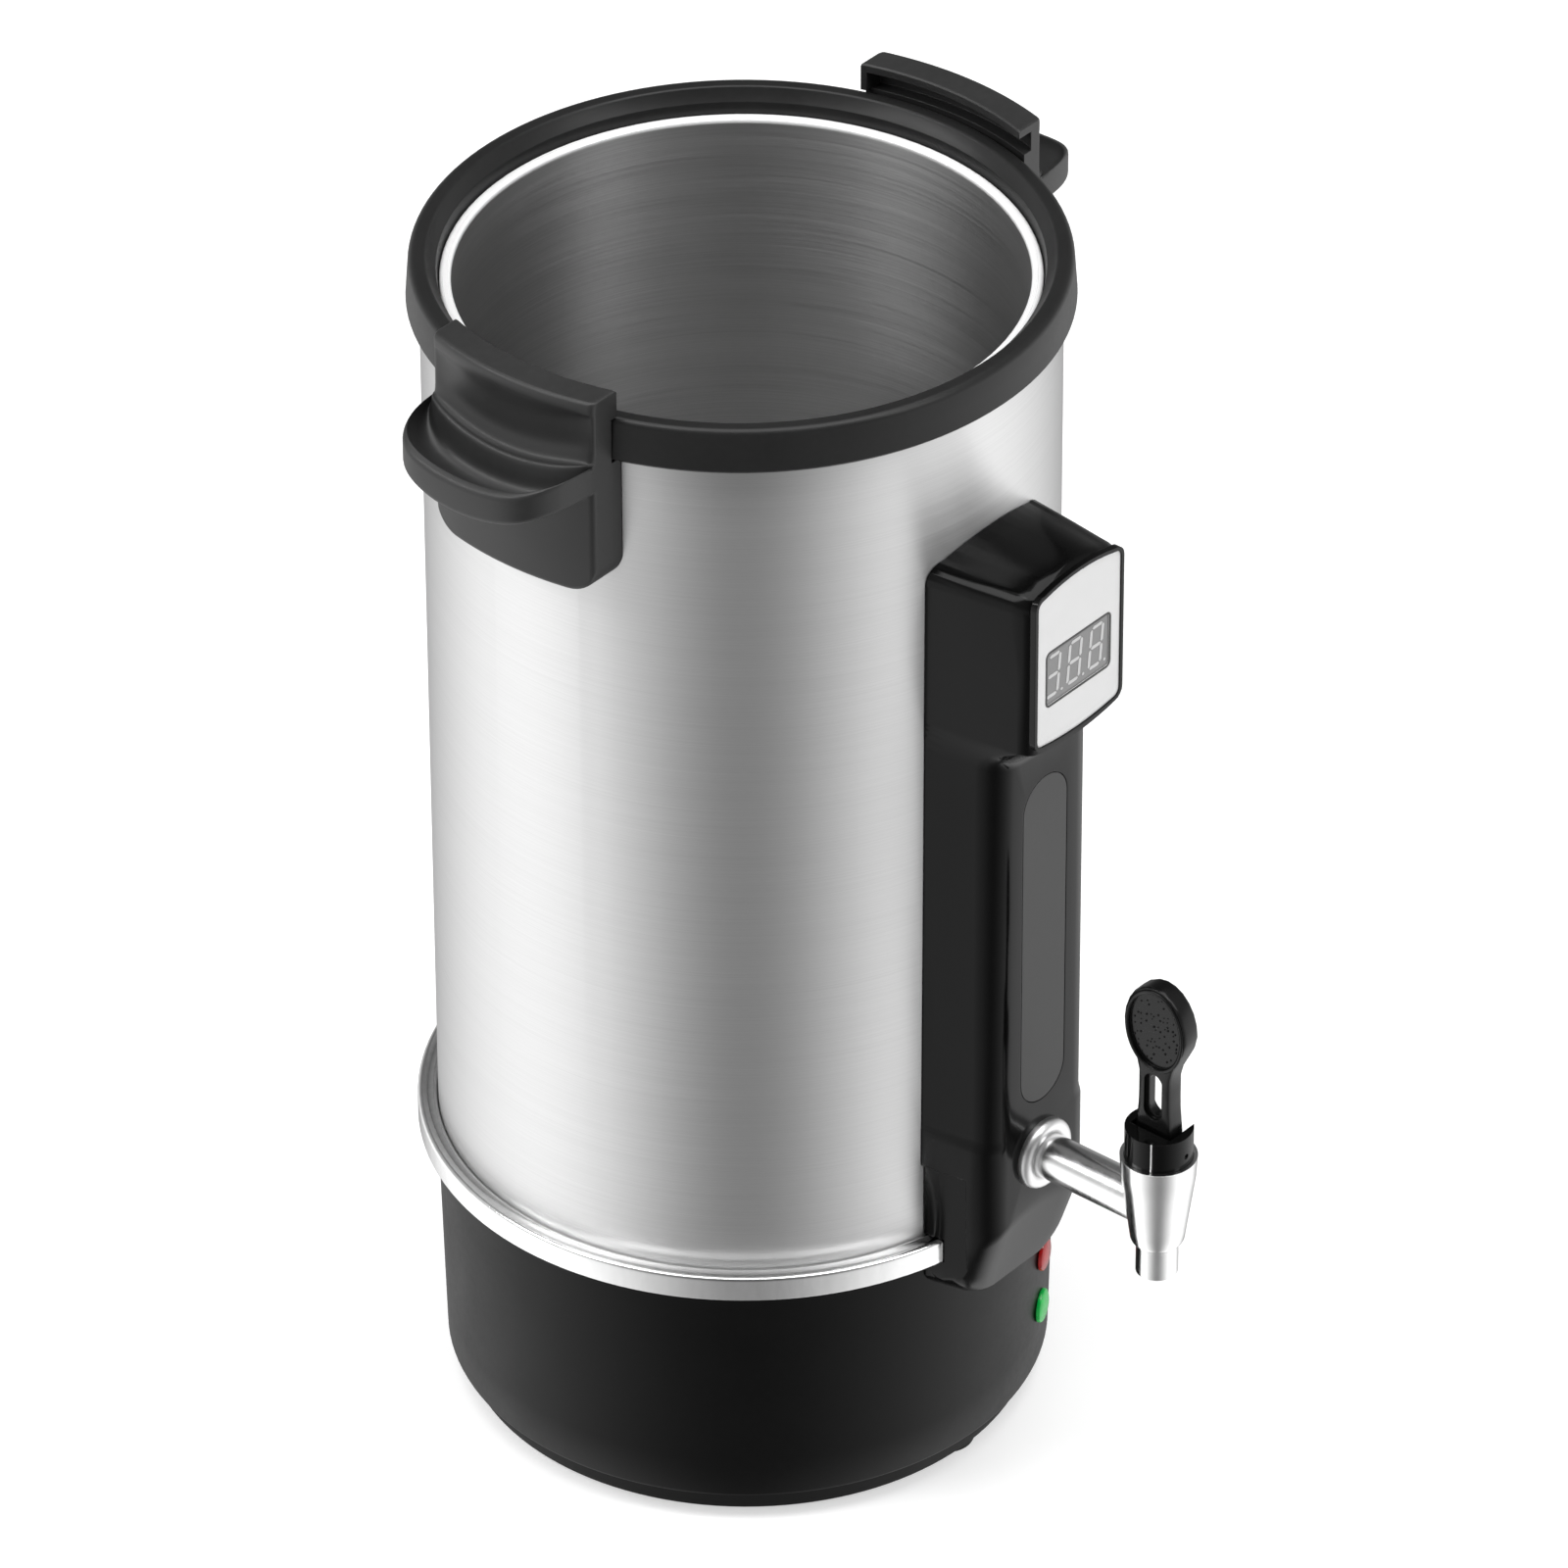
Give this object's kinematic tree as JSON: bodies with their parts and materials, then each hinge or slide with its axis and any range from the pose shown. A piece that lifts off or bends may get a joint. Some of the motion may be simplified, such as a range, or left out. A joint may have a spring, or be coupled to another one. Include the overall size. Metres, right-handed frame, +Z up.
{
  "type": "candle wax melter",
  "caption": "Tall steel pot in a steel jacket on a black heated base, with two side handles that hold a lid, a moulded front panel with a display, and a lever tap for pouring molten wax.",
  "frame": {"origin": "on the pot's axis at the surface that the feet stand on", "axes": "+Z up along the pot; -Y towards the tap and the display panel; the handles are at +X and -X"},
  "size_m": [0.2844, 0.303, 0.453],
  "materials": {
    "shell_steel": "stainless sheet, fine horizontal brushing",
    "pot_steel": "spun stainless, fine brushing round the wall",
    "bright_steel": "bright rolled and polished steel",
    "tap_steel": "turned and satin finished steel",
    "fastener_steel": "zinc plated steel",
    "black_plastic": "satin moulded black",
    "handle_plastic": "satin moulded black with a soft sheen",
    "panel_plastic": "half gloss moulded black",
    "lever_plastic": "satin moulded black, stippled in the dish",
    "knob_plastic": "satin moulded black",
    "tray_plastic": "matt moulded black",
    "inset_grey": "fine matt dark grey",
    "dial_plate": "printed matt disc",
    "black_rubber": "matt rubber",
    "label_white": "white printed film",
    "lens_grey": "smoked clear window",
    "board_green": "lacquered circuit board",
    "silicone": "translucent silicone",
    "silicone_red": "red silicone",
    "lamp_red": "moulded red lens",
    "lamp_green": "moulded green lens",
    "thermostat_case": "moulded phenolic",
    "cast_aluminium": "cast, as machined",
    "element_sheath": "dark annealed sheath",
    "bulb_copper": "drawn copper",
    "shield_aluminium": "pressed sheet",
    "pin_brass": "plated brass",
    "terminal_nylon": "moulded nylon"
  },
  "bodies": {
    "urn": {"outer_shell": "shell_steel", "inner_pot": "pot_steel", "top_rim": "black_plastic", "handle_left": "handle_plastic", "handle_right": "handle_plastic", "handle_screws": "fastener_steel", "trim_ring": "bright_steel", "base_shell": "black_plastic", "base_plate": "tray_plastic", "rubber_feet": "black_rubber", "base_screws": "fastener_steel", "deck_screws": "fastener_steel", "tap_housing": "panel_plastic", "housing_screws": "fastener_steel", "display_label": "label_white", "display_lens": "lens_grey", "display_board": "board_green", "board_screws": "fastener_steel", "inset_panel": "inset_grey", "tap_escutcheon": "bright_steel", "tap_body": "tap_steel", "tap_bonnet": "panel_plastic", "lever_pin": "bright_steel", "valve_spring": "bright_steel", "shank_nut": "bright_steel", "shank_gaskets": "silicone_red", "shank_spacer": "silicone", "red_indicator": "lamp_red", "green_indicator": "lamp_green", "indicator_nuts": "tray_plastic", "thermostat": "thermostat_case", "thermostat_screws": "fastener_steel", "knob_dial": "dial_plate", "heater_plate": "cast_aluminium", "heating_element": "element_sheath", "heater_nuts": "fastener_steel", "thermal_cutout": "tray_plastic", "thermostat_bulb": "bulb_copper", "temperature_probe": "bright_steel", "probe_clips": "fastener_steel", "heat_shield": "shield_aluminium", "power_inlet": "panel_plastic", "inlet_pins": "pin_brass", "inlet_screws": "fastener_steel", "terminal_block": "terminal_nylon"},
    "lever": {"tap_lever": "lever_plastic"},
    "valve": {"valve_stem": "bright_steel", "seal_cup": "silicone"},
    "knob": {"thermostat_knob": "knob_plastic", "thermostat_shaft": "fastener_steel"}
  },
  "joints": [
    {"name": "lever_tilt", "type": "hinge", "parent": "urn", "child": "lever", "pos_m": [0, -0.178, 0.1665], "axis": [0, 1, 0], "range_deg": [0, 60]},
    {"name": "stem_lift", "type": "slide", "parent": "urn", "child": "valve", "axis": [0, 0, 1], "range_m": [0, 0.003], "deforming": ["valve_spring"]},
    {"name": "thermostat_turn", "type": "hinge", "parent": "urn", "child": "knob", "pos_m": [0.1083, 0, 0.05], "axis": [1, 0, 0], "range_deg": [0, 270]}
  ],
  "couplings": [
    {"joint": "stem_lift", "follows": "lever_tilt", "m_per_rad": 0.00286}
  ]
}
